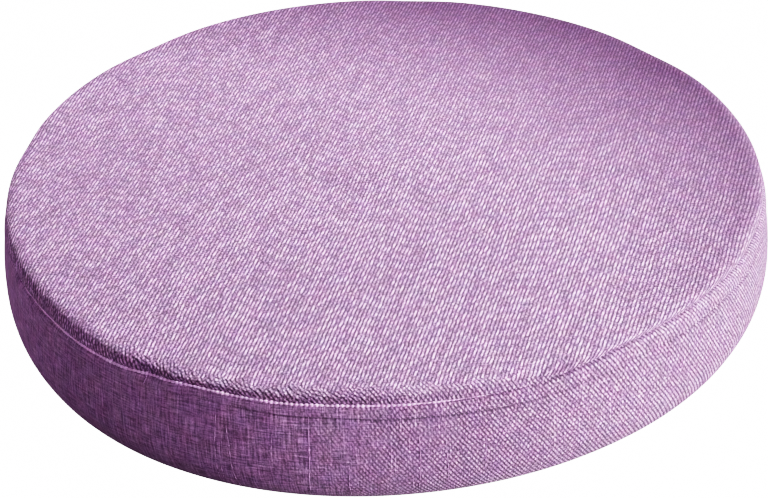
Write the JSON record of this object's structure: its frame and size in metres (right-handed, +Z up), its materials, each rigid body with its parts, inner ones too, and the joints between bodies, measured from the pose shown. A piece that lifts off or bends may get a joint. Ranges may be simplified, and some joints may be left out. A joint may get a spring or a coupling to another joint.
{
  "type": "round chair cushion",
  "caption": "Round flat chair cushion with a crowned top panel, a plain sewn seam, a bulging side band and a flat underside.",
  "frame": {"origin": "middle of the flat underside, on the surface that the cushion lies on", "axes": "+Z up through the thickness, +X to the right and +Y away from the side that the picture shows in front"},
  "size_m": [0.399, 0.399, 0.0693],
  "materials": {
    "cover_cloth": "mauve linen-look cloth with a diagonal rib, slubs and a melange of paler and darker threads"
  },
  "bodies": {
    "root": {"cushion": "cover_cloth"}
  },
  "joints": []
}
